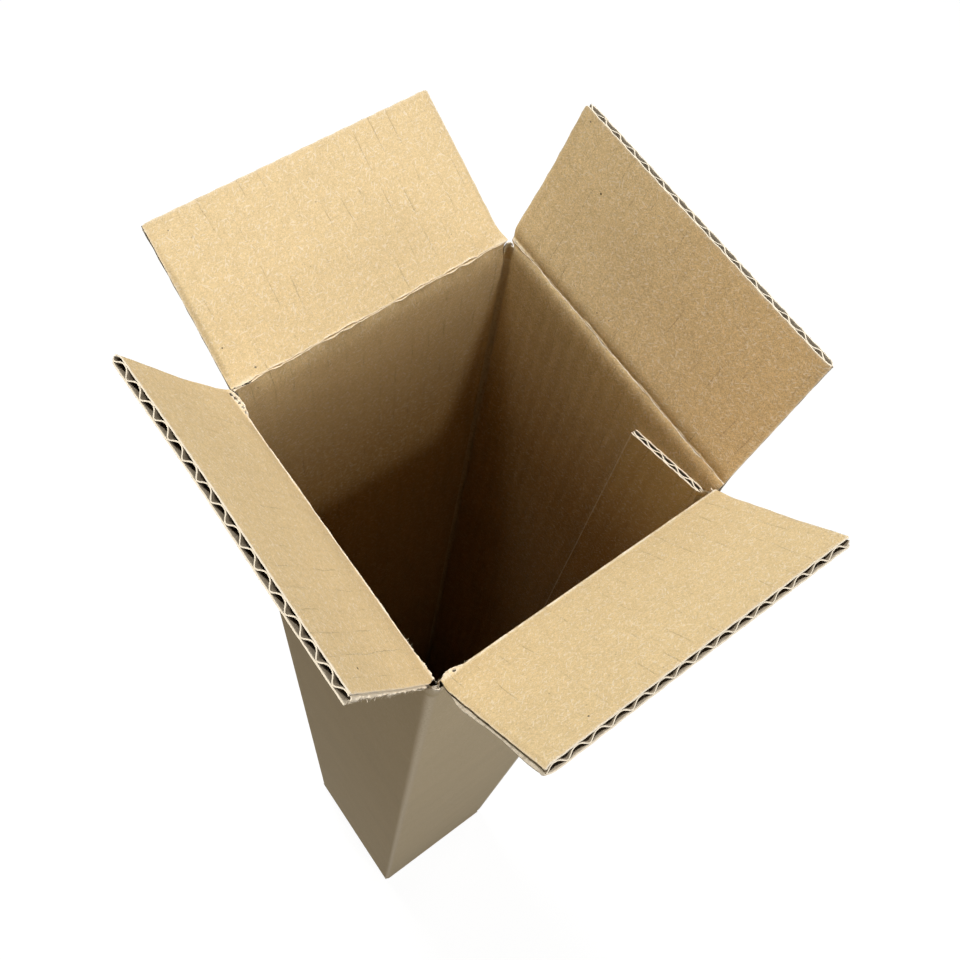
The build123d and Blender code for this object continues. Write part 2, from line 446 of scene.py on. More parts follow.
def paper_material(name, base, mottle, lines, shift):
    """Unbleached paper: mottled pulp, pale fibres, dark specks, lines over the flutes and rubbed places, with
    painted shade in the flutes' hollows, on the right panel, on the glue tab and deep inside the box.
    """
    colours = bpy.context.scene.paper_colours
    material = bpy.data.materials.new(name)
    material.use_nodes = True
    nodes = Nodes(material.node_tree)
    sheet = nodes.add("ShaderNodeUVMap", uv_map="blank").outputs["UV"]
    place = nodes.out("ShaderNodeMapping", {"Vector": sheet, "Location": (shift, shift, shift)})
    across, upright, _ = nodes.split(sheet)
    level = nodes.split(nodes.add("ShaderNodeTexCoord").outputs["Object"])[2]
    inner = name == "kraft_inside"

    # How light the paper is, as a share of its base colour
    pulp, fibre, light = pulp_light(nodes, place, mottle)
    right = WALLS["right"].sheet_start
    # Painted relief shading: the pulp's contrast grows across the right panel
    relief_shading = nodes.span(across, right - HALF, right - 0.97 * HALF, 1.0, RIGHT_RELIEF_SHADE)
    light = nodes.scaled(nodes.minus(light, 1.0), relief_shading, 1.0)
    flutes, line, painted_hollow_shade = flute_marks(nodes, place, across, upright, level, lines)
    # Darker at the flutes' lines, and painted shade in their hollows
    light = nodes.minus(nodes.minus(light, line), painted_hollow_shade)
    light = specked(nodes, place, sheet, light, SPECKS if inner else ())

    # Painted shade: darker and warmer towards the glued edge of the right panel, on the glue tab and deep inside
    # the box, standing in for the box's own shade and the warm light bounced inside it
    shown = nodes.out("ShaderNodeVectorMath", {0: tuple(base), "Scale": light}, operation="SCALE")
    if inner:
        for value, low, high, tint in ((across, right - HALF, right + HALF, (0.92, 0.84, 0.76)),
                                       (across, 0.0, -2 * MM, (0.9, 0.82, 0.68)),
                                       (level, JOIN_LEVEL + 2 * MM, JOIN_LEVEL - 0.1, tuple(colours.depth))):
            shown = nodes.mix(nodes.span(value, low, high), shown, tint + (1,), "MULTIPLY")

    # Pale fibres, and the pale core of the paper where it is rubbed; on the creases' wrinkles this also paints
    # highlight on their ridges
    pale = tuple(colours.cut) + (1,)
    shown = nodes.mix(nodes.times(nodes.span(fibre, 0.62, 0.74), mottle * 0.75), shown, pale)
    worn = nodes.add("ShaderNodeAttribute", attribute_name="wear").outputs["Fac"]
    patchy = nodes.span(nodes.noise(place, 700, 2), 0.30, 0.55, 0.35, 1.0)
    shown = nodes.mix(nodes.times(worn, patchy, clamp=True), shown, pale)

    wave = nodes.math("COSINE", nodes.times(flutes, 2 * math.pi))
    height = nodes.plus(nodes.scaled(pulp, 0.5, nodes.times(fibre, 0.6)),
                        nodes.scaled(wave, 2 * lines, nodes.times(line, -2.0)))
    bump = nodes.out("ShaderNodeBump", {"Height": height, "Strength": 0.6, "Distance": 0.0003})
    shader = nodes.out("ShaderNodeBsdfPrincipled", {"Base Color": shown, "Roughness": 0.82,
                                                    "Specular IOR Level": 0.25, "Normal": bump})
    nodes.add("ShaderNodeOutputMaterial", {"Surface": shader})


def uneven(count):
    """Shares from -1 to 1 across a width, closer together at its two ends."""
    ends = np.array([0.003, 0.009, 0.018, 0.032])
    return np.unique(np.concatenate([np.linspace(-1, 1, count), 1 - ends, ends - 1]).round(7))


def flute_shape(phase):
    """Height of the fluted paper, from -1 to 1, at a phase of its wave."""
    return 1 - 2 * ((1 - np.sin(phase)) / 2) ** CREST_POWER


def warp(wall, s, r):
    """How far a flap bows out of flat: the inner pair inwards and the outer pair outwards, so that all close."""
    away = smooth(clamp((r - sizes().join) / (20 * MM)))
    bias = FLAP_BOW if wall.side in ("front", "rear") else -FLAP_BOW
    return away * (bias + MM * (ripple(s, 40 + wall.number, (130, 70), (0.22, 0.1))
                                + ripple(r, 50 + wall.number, (90,), (0.18,))))


def overhang(wall, side, s, r):
    """How far a liner stands past the cut on the side of the front left corner, where the slot was torn."""
    board = sizes()
    if side != OUTSIDE or wall.side not in TORN_ENDS:
        return 0 * s
    torn = np.maximum(s * TORN_ENDS[wall.side], 0) / wall.root_half
    out = clamp((r - board.join) / (board.flap_length - board.join))
    past = 0.9 + 0.3 * np.sin(9 * out) if wall.side == "front" else 2.2 * out ** 16 - 0.7
    return np.sign(s) * torn ** 8 * past * clamp(out * 9) * MM


def pressed(wall, s, r):
    """How far each liner is pressed into the board beside the cut sides of a flap, apart from the torn ones."""
    board = sizes()
    near = smooth(clamp(1 - (wall.half_width(r) - np.abs(s)) / (1.8 * MM)))
    torn = TORN_ENDS.get(wall.side, 0) * s > 0
    gape = clamp((r / board.flap_length - 0.62) / 0.3) * (s < 0)
    whole = np.where(torn, 0.6 * (wall.side == "front"), 1.0)
    return whole * board.pinch * near * (1 - 0.8 * gape)


def build_flap(wall):
    """The two liners of one flap, from the crease strip to its edge, as closed sheets."""
    board = sizes()
    seed = 10 + wall.number
    rows = np.concatenate([np.linspace(0, 0.93, 16), [0.955, 0.975, 0.99, 1.0]])
    share, t = np.meshgrid(uneven(110), rows, indexing="ij")
    tip_half = wall.half_width(board.flap_length)
    paper = Paper()
    for side, near, far in ((INSIDE, board.board, board.board - board.liner), (OUTSIDE, 0.0, board.liner)):
        corner = board.corner * (1 if side == INSIDE else 2)
        s_tip = share * tip_half
        past = np.clip(np.abs(s_tip) - (tip_half - corner), 0, corner)
        end = board.flap_length - corner + np.sqrt(corner ** 2 - past ** 2)
        end = end + ripple(s_tip, seed + side, (3, 7, 1.3), (0.05, 0.07, 0.04)) * MM
        r = board.join + (end - board.join) * t
        half = wall.half_width(r)
        rough = ripple(r, seed + 7 + side, (1.7, 8), (0.05, 0.07)) * share ** 9 * MM
        s = share * half + rough * clamp((r - board.join) / (2 * MM))
        s = s + overhang(wall, side, s, r)
        bow = warp(wall, s, r) + pressed(wall, s, r) * (-1 if side == INSIDE else 1)
        edge = np.maximum(clamp(1 - (end - r) / (0.6 * MM)), clamp(1 - (half - np.abs(s)) / (0.5 * MM)))
        paper.sheet(wall.on_flap(s, r, near + bow), wall.on_flap(s, r, far + bow), wall.flat(s, r),
                    (side, FLUTE, CUT), 0.6 * edge)
    if wall.side == "left":
        build_torn_strip(wall, paper)
    piece = paper.finish(wall.side + "_flap_liners")
    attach(piece, wall.flap)
    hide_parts(wall.flap)


def torn_edge(wall, r, t):
    """Place along and into a flap of its torn strip, r out from the crease and a share t down the strip."""
    board = sizes()
    out = (r - board.join) / (board.flap_length - board.join)
    ragged = ripple(r, 131, (0.9, 2.3, 5.1, 11), (0.14, 0.2, 0.24, 0.25))
    hang = (0.5 + 0.7 * out + ragged * (0.6 + 0.7 * out)) * MM * t
    bulge = np.sin(math.pi * t) * (0.35 + 0.3 * ripple(r, 133, (3.1, 7), (0.5, 0.5)))
    s = -(wall.half_width(r) + (0.5 * np.minimum(t * 3, 1) - 0.5 + 0.7 * t * out + bulge) * MM)
    return s, board.board - board.liner - 0.1 * MM - hang + warp(wall, s, r)


def build_torn_strip(wall, paper):
    """The pale strip of torn paper that hangs along the cut on the left flap's front side."""
    board = sizes()
    rows = np.linspace(board.join + 1 * MM, board.flap_length - 0.6 * MM, 150)
    r, t = np.meshgrid(rows, np.linspace(0, 1, 7), indexing="ij")
    s, n = torn_edge(wall, r, t)
    paper.sheet(wall.on_flap(s - 0.12 * MM, r, n), wall.on_flap(s + 0.06 * MM, r, n), wall.flat(r, n),
                (CUT, CUT, CUT), 1.0)


def new_tree(name, result, inputs):
    """Start a tree of geometry nodes with named inputs and one result."""
    tree = bpy.data.node_groups.new(name, "GeometryNodeTree")
    for label, kind in inputs.items():
        tree.interface.new_socket(label, in_out="INPUT", socket_type="NodeSocket" + kind)
    tree.interface.new_socket(result, in_out="OUTPUT", socket_type="NodeSocketGeometry")
    nodes = Nodes(tree)
    return nodes, nodes.add("NodeGroupInput").outputs


def end_tree(nodes, geometry, finish):
    """Realize the instances, set the material and hand the geometry out."""
    real = nodes.out("GeometryNodeRealizeInstances", {0: geometry})
    done = nodes.out("GeometryNodeSetMaterial", {"Geometry": real, "Material": finish})
    nodes.add("NodeGroupOutput", {0: done})


def fibre_tree():
    """Geometry nodes that set loose paper fibres along a line, each a bent thread turned its own way."""
    nodes, given = new_tree("loose_fibres", "Fibres", {
        "Length": "Float", "Count": "Int", "Reach": "Float", "Thread": "Float", "Seed": "Int",
        "Finish": "Material"})
    step = nodes.combine(nodes.math("DIVIDE", given["Length"], given["Count"]))
    line = nodes.out("GeometryNodeMeshLine", {"Count": given["Count"], "Offset": step})
    thread = nodes.out("GeometryNodeCurveQuadraticBezier", {"Resolution": 5, "Start": (0, -0.2, 0),
                                                            "Middle": (0.1, 0.5, 0.3), "End": (0.6, 1.0, -0.1)})
    outline = nodes.out("GeometryNodeCurvePrimitiveCircle", {
        "Resolution": 3, "Radius": nodes.math("DIVIDE", given["Thread"], given["Reach"])})
    tube = nodes.out("GeometryNodeCurveToMesh", {"Curve": thread, "Profile Curve": outline, "Fill Caps": True})
    turn = nodes.out("FunctionNodeRandomValue", {0: (-1.0, -1.0, -1.2), 1: (1.0, 1.0, 1.2),
                                                 "Seed": given["Seed"]}, data_type="FLOAT_VECTOR")
    share = nodes.add("FunctionNodeRandomValue", {2: 0.25, 3: 1.0, "Seed": given["Seed"]}, data_type="FLOAT")
    size = nodes.times(share.outputs[1], given["Reach"])
    placed = nodes.out("GeometryNodeInstanceOnPoints", {"Points": line, "Instance": tube, "Rotation": turn,
                                                        "Scale": size})
    end_tree(nodes, placed, given["Finish"])


def flute_tree():
    """Geometry nodes that make a sheet of fluted paper from its sizes."""
    nodes, given = new_tree("fluted_paper", "Sheet", {
        "Width": "Float", "Length": "Float", "Pitch": "Float", "Height": "Float", "Paper": "Float",
        "Shift": "Float", "Wander": "Float", "Columns": "Int", "Rows": "Int", "Finish": "Material"})
    grid = nodes.out("GeometryNodeMeshGrid", {"Size X": given["Width"], "Size Y": given["Length"],
                                              "Vertices X": given["Columns"], "Vertices Y": given["Rows"]})
    x, y, _ = nodes.split(nodes.out("GeometryNodeInputPosition"))
    stray = nodes.noise(nodes.combine(nodes.times(x, 90.0), nodes.times(y, 20.0), given["Shift"]), 1.0, 1.0)
    offset = nodes.times(nodes.minus(stray, 0.5), given["Wander"])
    turns = nodes.math("DIVIDE", nodes.plus(nodes.plus(x, given["Shift"]), offset), given["Pitch"])
    wave = nodes.math("SINE", nodes.times(turns, 2 * math.pi))
    trough = nodes.math("POWER", nodes.scaled(wave, -0.5, 0.5, clamp=True), CREST_POWER)
    lift = nodes.combine(z=nodes.times(nodes.scaled(trough, -2.0, 1.0), given["Height"]))
    bent = nodes.out("GeometryNodeSetPosition", {"Geometry": grid, "Offset": lift})
    raised = nodes.out("GeometryNodeExtrudeMesh", {"Mesh": bent, "Offset Scale": given["Paper"],
                                                   "Individual": False}, mode="FACES")
    both = nodes.add("GeometryNodeJoinGeometry")
    for part in (raised, nodes.out("GeometryNodeFlipFaces", {0: bent})):
        nodes.tree.links.new(part, both.inputs[0])
    closed = nodes.out("GeometryNodeMergeByDistance", {"Geometry": both.outputs[0], "Distance": 0.00001})
    end_tree(nodes, closed, given["Finish"])


def plain_mesh(name, tree, values):
    """Run a node tree on an empty mesh with the given inputs, and return its result as a plain mesh."""
    holder = bpy.data.objects.new(name + "_maker", bpy.data.meshes.new(name + "_start"))
    bpy.context.scene.collection.objects.link(holder)
    modifier = holder.modifiers.new("maker", "NODES")
    modifier.node_group = bpy.data.node_groups[tree]
    for item in modifier.node_group.interface.items_tree:
        if item.in_out == "INPUT":
            modifier[item.identifier] = values[item.name]
    graph = bpy.context.evaluated_depsgraph_get()
    mesh = bpy.data.meshes.new_from_object(holder.evaluated_get(graph), preserve_all_data_layers=True,
                                           depsgraph=graph)
    bpy.data.objects.remove(holder)
    mesh.name = name
    return mesh


def points_of(mesh):
    """The x, y and z of a mesh's points."""
    points = np.zeros(len(mesh.vertices) * 3, np.float32)
    mesh.vertices.foreach_get("co", points)
    return points.reshape(-1, 3).T.astype(float)


def build_fibres():
    """Loose fibres along the torn strip of the left flap, and along the creases beside the torn corner."""
    board = sizes()

    def strip(wall, x, y, z):
        r = board.join + 2 * MM + x
        s, n = torn_edge(wall, r, 0.9 + 0 * r)
        return wall.on_flap(s - z, r, n - y)

    def fold(wall, x, y, z):
        s = (wall.root_half - x) * (1 if wall.side == "front" else -1)
        return wall.on_flap(s, board.fold_reach - y, board.board - CREASE_DIPS[wall.side] * MM + 0.2 * MM + z)

    for side, length_mm, count, reach_mm, seed, place in (
            ("left", 44, 300, 1.0, 5, strip), ("left", 16, 46, 0.8, 6, fold), ("front", 12, 30, 0.7, 7, fold)):
        name = f"{side}_flap_fibres_{seed}"
        mesh = plain_mesh(name, "loose_fibres", {
            "Length": length_mm * MM, "Count": count, "Reach": reach_mm * MM, "Thread": 0.035 * MM,
            "Seed": seed, "Finish": bpy.data.materials["cut_paper"]})
        points = place(WALLS[side], *points_of(mesh))
        mesh.vertices.foreach_set("co", points.astype(np.float32).ravel())
        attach(finished(name, mesh, [CUT] * len(mesh.polygons)), side + "_flap")


def fluted_piece(name, width, length, thickness, shift, place, flat):
    """One sheet of fluted paper. place turns its x, y and height into points, and flat into sheet places."""
    board = sizes()
    mesh = plain_mesh(name, "fluted_paper", {
        "Width": width, "Length": length, "Pitch": board.pitch, "Paper": board.medium, "Shift": shift,
        "Height": (thickness - 2 * board.liner - board.medium) / 2, "Wander": 0.5 * MM,
        "Columns": int(width / board.pitch * WAVE_POINTS) + 1, "Rows": WAVE_ROWS,
        "Finish": bpy.data.materials["flute_paper"]})
    x, y, z = points_of(mesh)
    ends = [abs(p.normal.y) > 0.8 or (abs(p.normal.x) > 0.8 and abs(p.center.x) > width / 2 - 0.01 * MM)
            for p in mesh.polygons]
    y = y + length / 2
    points = place(x, y, z + (thickness - board.medium) / 2)
    mesh.vertices.foreach_set("co", points.astype(np.float32).ravel())
    loops = np.zeros(len(mesh.loops), np.int32)
    mesh.loops.foreach_get("vertex_index", loops)
    layer = mesh.uv_layers.get("blank") or mesh.uv_layers.new(name="blank")
    layer.data.foreach_set("uv", flat(x, y)[loops].astype(np.float32).ravel())
    for other in [l for l in mesh.uv_layers if l.name != "blank"]:
        mesh.uv_layers.remove(other)
    mesh.update()
    return finished(name, mesh, [CUT if end else FLUTE for end in ends])


def build_flutes(wall):
    """The fluted paper inside one flap."""
    board = sizes()
    middle = board.board / 2

    def place(x, y, z):
        r = board.join + y
        squeeze = 1 - 2 * pressed(wall, x, r) / board.board
        return wall.on_flap(x, r, middle + (z - middle) * squeeze + warp(wall, x, r))

    def flat(x, y):
        return wall.flat(x, board.join + y)

    width = 2 * (wall.root_half - board.flare) - 0.1 * MM
    piece = fluted_piece(wall.side + "_flap_flutes", width, board.flap_length - board.join - 0.05 * MM,
                         board.board, board.pitch / 4 - wall.crest, place, flat)
    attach(piece, wall.flap)


def crease_profiles(wall, across):
    """The inner and the outer face of the board at distances across a crease, in the plane across it."""
    board = sizes()
    run = np.array([math.sin(wall.angle), math.cos(wall.angle)])
    inner = np.array([-run[1], run[0]])
    start = JOIN_LEVEL - wall.crease[2]
    fold = run * board.fold_reach + inner * (board.board - CREASE_DIPS[wall.side] * MM)

    # The wall rounds over towards the flap, and further where the crease is pressed deep
    dip = CREASE_DIPS[wall.side] ** 2
    shoulder = 0.45 * wall.angle + 0.55 * dip
    lean = np.array([math.sin(shoulder), math.cos(shoulder)])
    below = 1 + np.minimum(across, 0) / -across[0]
    above = np.maximum(across, 0) / across[-1]
    wall_side = curve_between(np.array([-board.board, start]), np.array([0, -start * 1.4]), fold, lean * 6 * MM,
                              below)
    flap_side = curve_between(fold, (run + 0.3 * dip * inner) * 5 * MM, run * board.join + inner * board.board,
                              run * 6 * MM, above)
    bulge = -unit(inner + (-1, 0)) * 0.25 * MM
    turn = (run + (0, 1)) * 1.5 * MM
    outer_wall = curve_between(np.array([0, start]), np.array([0, -start]), bulge, turn, below)
    outer_flap = curve_between(bulge, turn, run * board.join, run * board.join, above)
    on_wall = (across <= 0)[:, None]
    return np.where(on_wall, wall_side, flap_side), np.where(on_wall, outer_wall, outer_flap)


def crease_halves(wall, across, share):
    """Half the length of a crease's outer and inner face, at distances across it and shares along it."""
    board = sizes()
    flap_half = wall.half_width(board.join)
    wall_half = min(HALF - board.fold_radius, wall.root_half)
    channel_half = HALF - board.board - board.channel
    bend = 0.4 * MM + 0.4 * (wall.crease[2] - LOW_CREASE)
    ends = [across[0], 0, across[-1]]
    outer_half = np.interp(across, ends, [wall_half, wall.root_half, flap_half])
    inner_half = np.interp(across, [across[0], -bend - 1.8 * MM, -bend, 0, across[-1]],
                           [channel_half, channel_half, wall.root_half - 0.5 * MM, wall.root_half, flap_half])
    if wall.side == "right":
        raw_half = np.interp(across, ends, [wall.root_half, wall.root_half, flap_half])
        outer_half, inner_half = (np.where(share > 0, raw_half, half) for half in (outer_half, inner_half))
    return outer_half, inner_half


def crease_relief(wall, share, s, d):
    """The wrinkles of the inner liner at a crease: their rise, slip, and wear with painted highlight on their
    ridges, and the distance from its holes.

    share and s run along the crease, and d runs across it in millimetres. Rise and slip are in millimetres,
    and the distance from a hole is 1 at its rim.
    """
    seed = 70 + wall.number
    crinkle = CRINKLES[wall.side]
    ridge = RIDGES[wall.side]
    bite = clamp(0.55 + ripple(s, seed, (9, 23, 41), (0.2, 0.25, 0.2)))[:, None]
    pinch = np.abs(np.sin(math.pi * (s - wall.crest) / sizes().pitch))[:, None] ** 0.7
    wander = ripple(s, seed + 5, (14, 31, 5, 2.1), (0.12, 0.15, 0.08, 0.05))[:, None]

    # Two ridges with a valley between them, further apart where the crease bit into the flutes
    lens = (0.15 + 0.6 * bite * pinch) * (0.5 + 0.5 * crinkle)
    ridges = bell(np.abs(d) - lens, 0.22)
    rise = crinkle * bite * (0.42 * ridges - 0.3 * bell(d, 0.3) * pinch) + wander * 0.4 * bell(d, 0.8)
    # Paler on the ridges: partly rubbed liner, partly painted highlight where the ridges catch the light
    worn = clamp(ridges * (0.65 + 0.5 * bite * pinch)) * min(0.6 + 0.4 * crinkle, 1)

    # One ridge where the liner cracked, in uneven steps towards a torn end
    torn = clamp(share * TORN_ENDS.get(wall.side, 0))
    steps = ripple(s, seed + 9, (2.9, 6.1, 1.3), (0.2, 0.25, 0.15))[:, None]
    rise = rise + ridge * bell(d - wander + 0.35, 0.35) * (0.7 + steps * (0.25 + torn ** 4))
    if ridge:
        worn = np.maximum(worn, bell(d - wander + 0.25, 0.36, 4))

    for side, place, half, height in LIPS:
        if side == wall.side:
            lip = clamp(1 - ((s / MM - place) / half) ** 2)[:, None] ** 0.75
            rise = rise + height * lip * bell(np.maximum(np.abs(d) - 0.25, 0), 0.7)
            worn = np.maximum(worn, 0.75 * lip * bell(d, 1.1))
    hole = np.full(worn.shape, NO_HOLE)
    for side, place, middle, half_length, half_width in BURSTS:
        if side == wall.side:
            rim = ripple(s, seed + 3, (0.8, 0.5), (0.3, 0.2))[:, None]
            away = np.hypot((s[:, None] / MM - place) / half_length, (d - middle) / half_width)
            hole = np.minimum(hole, away + rim)
    worn = np.maximum(worn, 0.8 * clamp(2 - hole))
    return rise, wander * bell(d, 1.6), worn, hole


def build_crease(wall):
    """The strip of board bent at one top crease, with the wrinkles that its flutes leave in the liner."""
    board = sizes()
    start = JOIN_LEVEL - wall.crease[2]

    # Rows of points across the fold and places along it, closest together where the paper is most broken
    close = np.array([0.15, 0.3, 0.45, 0.6, 0.75, 0.9, 1.05, 1.25, 1.5, 1.9]) * MM
    across = np.concatenate([np.linspace(start - 3 * MM, -2.6 * MM, 8), -close[::-1], [0], close,
                             np.linspace(2.6 * MM, board.join, 5)])
    dense = np.linspace(0.72, 1, 60)
    share = np.unique(np.concatenate([uneven(190), dense, -dense]))[:, None]
    outer_half, inner_half = crease_halves(wall, across, share)
    end, loss = END_LOSSES[wall.side]
    cut_back = end * clamp(share * end) ** 14 * bell(across - 0.5 * MM, 3 * MM) * loss * MM
    s_outer, s_inner = share * outer_half - cut_back, share * inner_half - cut_back
    rise, slip, worn, hole = crease_relief(wall, share, share[:, 0] * wall.root_half, across[None, :] / MM)
    hole = (hole[1:, 1:] + hole[:-1, :-1]) / 2

    inside, outside = crease_profiles(wall, across)
    inner_way = unit(np.array([-math.cos(wall.angle), math.sin(wall.angle)]) + (-1, 0))
    along_way = np.array([inner_way[1], -inner_way[0]])
    profile = inside + (rise[..., None] * inner_way + slip[..., None] * along_way) * MM
    pinched = pressed(wall, share * wall.half_width(board.join), board.join) * clamp(across / board.join)
    squeeze = pinched[..., None] * wall.inner
    inner_points = wall.on_wall(s_inner, profile[..., 0], profile[..., 1]) - squeeze
    outer_points = wall.on_wall(s_outer, outside[:, 0], outside[:, 1]) + squeeze
    through = inner_points - outer_points
    depth = np.linalg.norm(through, axis=-1, keepdims=True)
    way = through / depth

    paper = Paper()
    blank = np.interp(across, [across[0], 0, across[-1]], [start, 0, board.join])[None, :]
    paper.sheet(inner_points, inner_points - way * board.liner, wall.flat(s_inner, blank), (INSIDE, FLUTE, CUT),
                worn, hole < 1)
    flat = wall.flat(s_outer, blank)
    paper.sheet(outer_points, outer_points + way * board.liner, flat, (OUTSIDE, FLUTE, CUT))
    open_depth = np.minimum(depth, board.board)
    room = np.maximum(open_depth - 2 * board.liner - board.medium, 0) / 2
    wave = flute_shape(2 * math.pi * (s_outer - wall.crest) / board.pitch + math.pi / 2)[..., None]
    middle = outer_points + way * (open_depth / 2 + wave * room)
    paper.sheet(middle + way * board.medium / 2, middle - way * board.medium / 2, flat, (FLUTE, FLUTE, CUT),
                0.0, hole < 0.5)
    piece = paper.finish(wall.side + "_crease")
    fold = wall.on_wall(np.array(0.0), *(np.array(c) for c in inner_way * board.board / 2))
    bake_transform(piece)


def arc(centre, radius, first, last, count=13):
    """Points on a circle from one angle to another, in degrees."""
    turn = np.radians(np.linspace(first, last, count))
    return np.stack([centre[0] + radius * np.cos(turn), centre[1] + radius * np.sin(turn)], -1)


def joined(*runs):
    return np.concatenate([np.reshape(run, (-1, 2)) for run in runs])


def board_path():
    """The outer and the inner face of the board round the box, and each point's place on the sheet.

    The path runs from the glue tab's root over the front, left, rear and right walls to the right wall's raw
    edge. Also returned are the stretches of it that stand between the slots.
    """
    board = sizes()
    face = HALF - board.board
    lip = face - board.channel - CHANNEL_LIP
    round_end = HALF - board.fold_radius
    tab_face = face - board.tab_board
    root = tab_face - TAB_ROOT
    front_start = -tab_face + board.channel + CHANNEL_LIP
    corner = (joined((lip, HALF), arc((round_end, round_end), board.fold_radius, 90, 0), (HALF, lip)),
              joined((lip, face), arc((face, face), board.channel, 172, -82), (face, lip)))
    seam = (joined((-face, root), arc((board.fold_radius - face, round_end), board.fold_radius, 180, 90),
                   (front_start, HALF)),
            joined((-tab_face, root), arc((-tab_face, face), board.channel, 262, 8), (front_start, face)))
    outer, inner, place, posts = [], [], [], []

    def add(faces, x, wall, post=None):
        """Turn a stretch to its wall and add it. post says how many of its ends' points aren't in the post."""
        turn = math.radians(180 - 90 * wall.number)
        rotation = np.array([[math.cos(turn), math.sin(turn)], [-math.sin(turn), math.cos(turn)]])
        count = sum(len(run) for run in place)
        outer.append(faces[0] @ rotation)
        inner.append(faces[1] @ rotation)
        place.append(wall.sheet_start + x)
        if post:
            posts.append(slice(count + post[0], count + len(x) - post[1]))

    for wall in WALLS.values():
        at_seam, at_raw_edge = wall.side == "front", wall.side == "right"
        if at_seam:
            add(seam, np.linspace(-HALF - 2 * MM, front_start, 15), wall, (0, 1))
        last = HALF - board.seam_step if at_raw_edge else lip
        x = np.linspace(front_start if at_seam else -lip, last, 36)[1:]
        x = np.append(x[x < round_end], np.linspace(round_end, last, 5)) if at_raw_edge else x[:-1]
        add([np.stack([x, np.full(x.shape, level)], -1) for level in (HALF, face)], x, wall,
            (len(x) - 5, 0) if at_raw_edge else None)
        if not at_raw_edge:
            add(corner, np.linspace(lip, 2 * HALF - lip, 15), wall, (1, 1))
    return np.concatenate(outer), np.concatenate(inner), np.concatenate(place), posts


def build_sleeve():
    """The four walls up to the creases, with the corner posts between the slots, and the bottom flaps."""
    board = sizes()
    paper = Paper()
    outer, inner, place, posts = board_path()
    rows = np.concatenate([[board.foot], np.linspace(14 * MM, JOIN_LEVEL - 8 * MM, 40), [JOIN_LEVEL]])
    drop = (rows - rows[0]) / (rows[-1] - rows[0])
    bow = np.sin(math.pi * drop) ** 0.5 * ripple(rows, 3, (550, 310), (0.35, 0.2)) * MM

    def grid(path):
        flatness = clamp((HALF - board.fold_radius - np.abs(path).min(1)) / (20 * MM))
        way = np.where(np.abs(path).argmax(1)[:, None] == np.arange(2), np.sign(path), 0.0)
        spread = path[:, None, :] + way[:, None, :] * (bow[None, :] * flatness[:, None])[..., None]
        return np.concatenate([spread, np.broadcast_to(rows[None, :, None], spread.shape[:2] + (1,))], -1)

    flat = np.stack(np.broadcast_arrays(place[:, None], rows[None, :]), -1)
    panel = 2 * HALF
    from_fold = np.abs(place / panel - np.round(place / panel)) * panel
    worn = 0.55 * bell(from_fold, 2.4 * MM)[:, None]
    paper.sheet(grid(outer), grid(inner), flat, (OUTSIDE, INSIDE, CUT), worn)
    for number, post in enumerate(posts):
        build_post(paper, outer[post], inner[post], place[post], number)
    build_floor(paper)
    piece = paper.finish("carton_sleeve")
    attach(piece, "carton")
    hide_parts("carton")


def build_post(paper, outer, inner, place, number):
    """The liners that stand between two slots at one corner, with ragged cut tops.

    The posts are numbered along the board's path: 0 at the glue tab's root, 1 at the torn front left corner,
    2 and 3 at the whole rear corners, and 4 at the right wall's raw edge.
    """
    board = sizes()
    slot = LOW_CREASE - board.slot_depth
    shares = np.linspace(0, 1, 31)
    steps = np.linspace(0, 1, len(outer))
    outer, inner = (np.stack([np.interp(shares, steps, path[:, axis]) for axis in (0, 1)], -1)
                    for path in (outer, inner))
    u = np.interp(shares, steps, place)
    depth = np.linalg.norm(inner - outer, axis=1, keepdims=True)
    way = (inner - outer) / depth
    rows = np.linspace(0, 1, 7)
    narrow = min(wall.root_half for wall in WALLS.values())
    torn, whole = number == 1, 1 < number < 4
    hidden = FLUTE if torn else INSIDE
    for layer, (near, far, shown) in enumerate((
            (0 * depth, 0 * depth + board.liner, OUTSIDE), (depth, depth - board.liner, INSIDE),
            (depth * 0.5 + 0.5 * board.medium, depth * 0.5 - 0.5 * board.medium, hidden))):
        inmost = layer == 1

        # Lower beside the creases, and higher where the post stands clear of the flaps
        plan = np.abs(outer + way * (near + far) / 2)
        beside = 1 - clamp(1 - (narrow - plan.min(1)) / (1.2 * MM))
        free = clamp((plan[:, 0] - CLEAR_X) / (2 * MM)) * clamp((plan[:, 1] - CLEAR_Y) / (0.3 * MM))
        top = POST_RISE * free * (torn or whole) - (POST_TUCK_INNER if whole and inmost else POST_TUCK) * beside
        if whole:
            top = top + (POST_INNER if inmost else POST_BEHIND)
        if number == 0:
            top = top - ROOT_SLOPE * (1 - shares)
        top = top + ripple(u, 20 + number + 4 * layer, (2.1, 4.7, 1.1), (0.15, 0.2, 0.1))
        z = JOIN_LEVEL + (slot + top * MM - JOIN_LEVEL)[:, None] * rows[None, :]
        grids = []
        for offset in (near, far):
            lean = 0.12 * MM if torn or inmost else 0.12 * MM + 0.3 * (0.5 * depth - offset)
            inset = offset[:, None, :] + np.reshape(lean * rows, (-1, len(rows), 1))
            grids.append(np.concatenate([outer[:, None, :] + way[:, None, :] * inset, z[..., None]], -1))
        flat = np.stack(np.broadcast_arrays(u[:, None], z), -1)
        paper.sheet(*grids, flat, (shown, hidden, CUT), 0.9 * rows[None, :] ** (2 if torn else 4))


